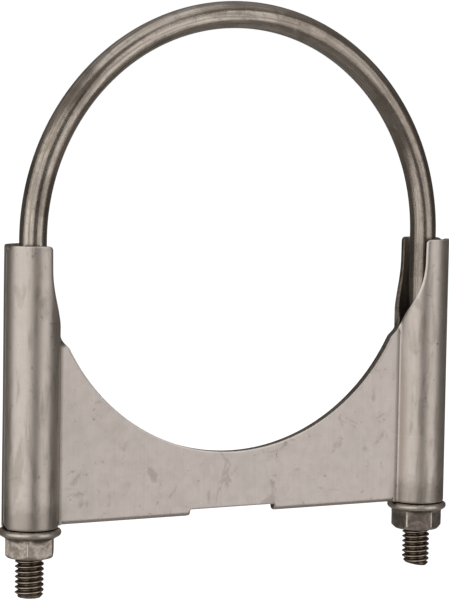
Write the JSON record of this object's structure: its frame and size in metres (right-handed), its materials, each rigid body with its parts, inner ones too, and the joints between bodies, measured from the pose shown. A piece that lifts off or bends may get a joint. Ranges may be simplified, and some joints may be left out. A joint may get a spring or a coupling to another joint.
{
  "type": "u-bolt pipe clamp",
  "caption": "U-bolt clamp: a bent rod with threaded legs runs through a folded sheet saddle and is drawn down on the pipe by flange nuts.",
  "frame": {"origin": "on the axis of a pipe seated in the saddle, at the middle of the saddle's thickness", "axes": "+Z towards the rod's crown, X from leg to leg, Y along the pipe"},
  "size_m": [0.1392, 0.017, 0.1613],
  "materials": {
    "saddle_sheet": "satin sheet steel, faintly stained and scuffed",
    "rod_steel": "drawn rod, semi-bright with streaks along its length",
    "nut_steel": "semi-bright formed steel with rubbed corners"
  },
  "bodies": {
    "saddle": {"saddle": "saddle_sheet"},
    "u_bolt": {"u_bolt": "rod_steel"},
    "nut_left": {"nut_left": "nut_steel"},
    "nut_right": {"nut_right": "nut_steel"}
  },
  "joints": [
    {"name": "nut_left_spin", "type": "hinge", "parent": "saddle", "child": "nut_left", "pos_m": [-0.0611, 0, -0.0788], "axis": [0, 0, 1], "range_deg": [-2690, 3050]},
    {"name": "nut_right_spin", "type": "hinge", "parent": "saddle", "child": "nut_right", "pos_m": [0.0611, 0, -0.0788], "axis": [0, 0, 1], "range_deg": [-2690, 3050]},
    {"name": "u_bolt_draw", "type": "slide", "parent": "saddle", "child": "u_bolt", "axis": [0, 0, -1], "range_m": [-0.0105, 0.0119]}
  ],
  "couplings": [
    {"joint": "nut_left_spin", "follows": "u_bolt_draw", "rad_per_m": 4452.7},
    {"joint": "nut_right_spin", "follows": "u_bolt_draw", "rad_per_m": 4452.7}
  ]
}
